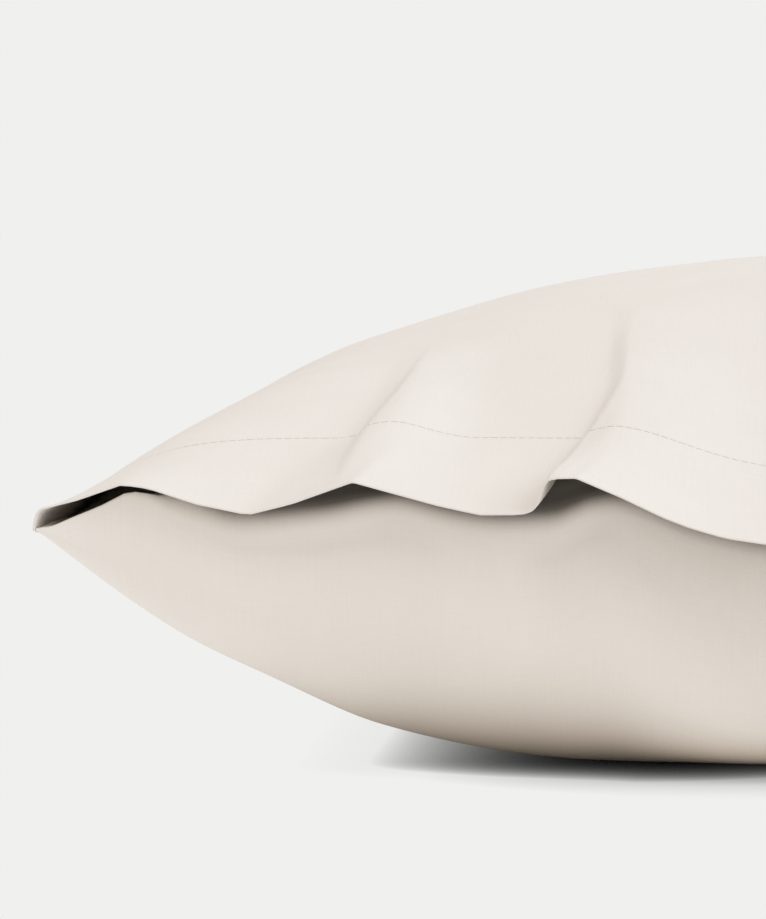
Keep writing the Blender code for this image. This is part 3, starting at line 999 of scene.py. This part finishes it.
def makeSun(name, settings, receivers):
    sun = bpy.data.lights.new(name, "SUN")
    sun.energy = settings["strength"]
    sun.color = settings["colour"]
    sun.angle = math.radians(settings["size"])
    holder = bpy.data.objects.new(name, sun)
    holder.rotation_euler = Euler([math.radians(turn) for turn in settings["turn"]])
    bpy.context.scene.collection.objects.link(holder)
    lit = bpy.data.collections.new(name + "Receivers")
    for piece in receivers:
        lit.objects.link(piece)
    holder.light_linking.receiver_collection = lit


def floorMaterial():  # takes no light and glows evenly; near a piece the glow is dimmed and warmed (painted shade) and what the camera sees is darkened (painted contact shadow)
    material = bpy.data.materials.new("paleFloor")
    material.use_nodes = True
    material.cycles.emission_sampling = "NONE"
    tree = material.node_tree
    place = nodeIn(tree, "ShaderNodeTexCoord").outputs["Object"]
    parts = nodeIn(tree, "ShaderNodeSeparateXYZ", inputs={"Vector": place})
    aside = Wire(tree, parts.outputs["X"])
    behind = (Wire(tree, parts.outputs["Y"]) + studio["frontAt"]) * studio["frontSpread"]
    off = aside * aside + behind * behind

    def along(values):
        middle, outside, span = values
        return middle + (off / span ** 2).atMost(1) * (outside - middle)

    def openness(distance):
        node = nodeIn(tree, "ShaderNodeAmbientOcclusion", {"samples": 16}, {"Distance": distance})
        return Wire(tree, node.outputs["AO"])

    near, wide = openness(along(studio["contact"])), openness(along(studio["contactSoft"]))
    share = along(studio["softShare"])
    path = nodeIn(tree, "ShaderNodeLightPath")
    around = openness(along(studio["floorDark"]))
    tint = mixedColours(tree, around, studio["floorWarm"], (1, 1, 1))
    glow = nodeIn(tree, "ShaderNodeEmission", inputs={
        "Color": tint, "Strength": around * studio["floorGlow"]})
    seen = nodeIn(tree, "ShaderNodeEmission", inputs={
        "Color": (*studio["seen"], 1), "Strength": near + share * (wide - near)})
    mix = nodeIn(tree, "ShaderNodeMixShader", inputs={
        0: path.outputs["Is Camera Ray"], 1: glow.outputs[0], 2: seen.outputs[0]})
    tree.links.new(mix.outputs[0], tree.nodes["Material Output"].inputs["Surface"])
    return material


def makeStudio(pieces):
    ground = bpy.data.meshes.new("floor")
    ground.from_pydata(studio["floorCorners"], [], [(0, 1, 2)])
    ground.materials.append(floorMaterial())
    floor = bpy.data.objects.new("floor", ground)
    bpy.context.scene.collection.objects.link(floor)
    world = bpy.data.worlds.new("studio")
    bpy.context.scene.world = world
    world.use_nodes = True
    tree = world.node_tree
    light = tree.nodes["Background"]
    light.inputs["Color"].default_value = (*studio["sky"], 1)
    seen = nodeIn(tree, "ShaderNodeBackground", inputs={"Color": (*studio["seen"], 1)})
    path = nodeIn(tree, "ShaderNodeLightPath")
    mix = nodeIn(tree, "ShaderNodeMixShader", inputs={
        0: path.outputs["Is Camera Ray"], 1: light.outputs[0], 2: seen.outputs[0]})
    tree.links.new(mix.outputs[0], tree.nodes["World Output"].inputs["Surface"])
    makeSun("window", studio["window"], pieces)
    print("floor and light ready")


def makeCamera():
    lens = bpy.data.cameras.new("camera")
    lens.sensor_width = view["sensor"]
    lens.lens = view["focal"] / view["longSide"] * lens.sensor_width
    lens.clip_end = view["farthest"]
    camera = bpy.data.objects.new("camera", lens)
    camera.location = (0, -case["halfLength"] - view["distance"], view["height"])
    turn = math.atan((view["ahead"] - view["centre"][0]) / view["focal"])
    tilt = math.atan((view["centre"][1] - view["horizon"]) / view["focal"])
    camera.rotation_euler = Euler((math.radians(90) - tilt, 0, turn))
    bpy.context.scene.collection.objects.link(camera)
    bpy.context.scene.camera = camera
    print("camera ready")


makeStudio([frontPanel, filledBack, stitches])
makeCamera()
bpy.context.scene.view_settings.view_transform = "Standard"
